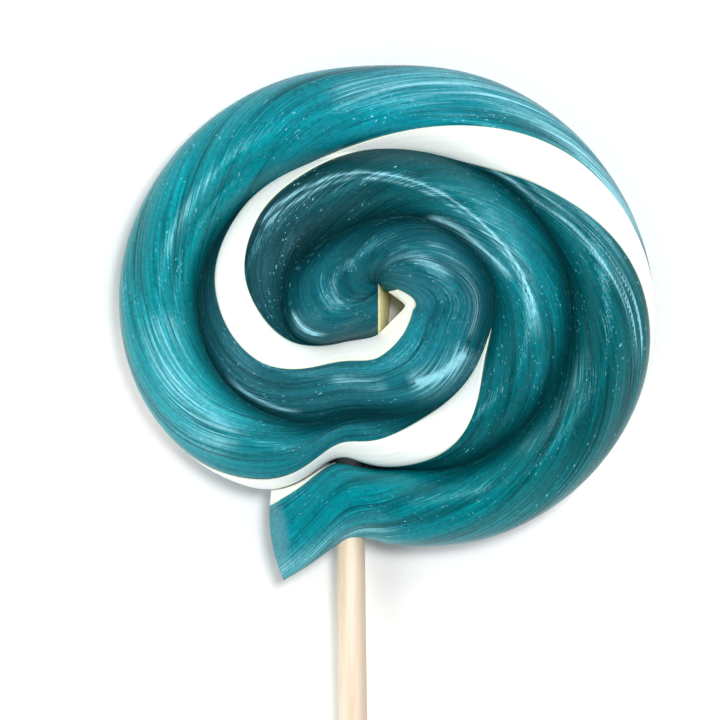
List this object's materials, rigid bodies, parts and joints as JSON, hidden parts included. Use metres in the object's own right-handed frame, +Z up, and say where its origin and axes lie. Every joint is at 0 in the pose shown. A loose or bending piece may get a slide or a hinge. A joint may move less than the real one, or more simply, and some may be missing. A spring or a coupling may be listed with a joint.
{
  "type": "lollipop",
  "caption": "Spiral lollipop: a twisted hard-candy rope with a white stripe, coiled flat and fused round the end of a wooden stick.",
  "frame": {"origin": "on the floor under the middle of the box round the whole lollipop, which lies on its back", "axes": "+Y along the stick towards the candy, +Z up out of the shown face, +X to the right of the shown face"},
  "size_m": [0.083, 0.185, 0.0127],
  "materials": {
    "teal_candy": "gloss",
    "white_candy": "satin",
    "stick_wood": "matte"
  },
  "bodies": {
    "root": {"candy_rope": "teal_candy", "white_stripe": "white_candy", "stick": "stick_wood"}
  },
  "joints": []
}
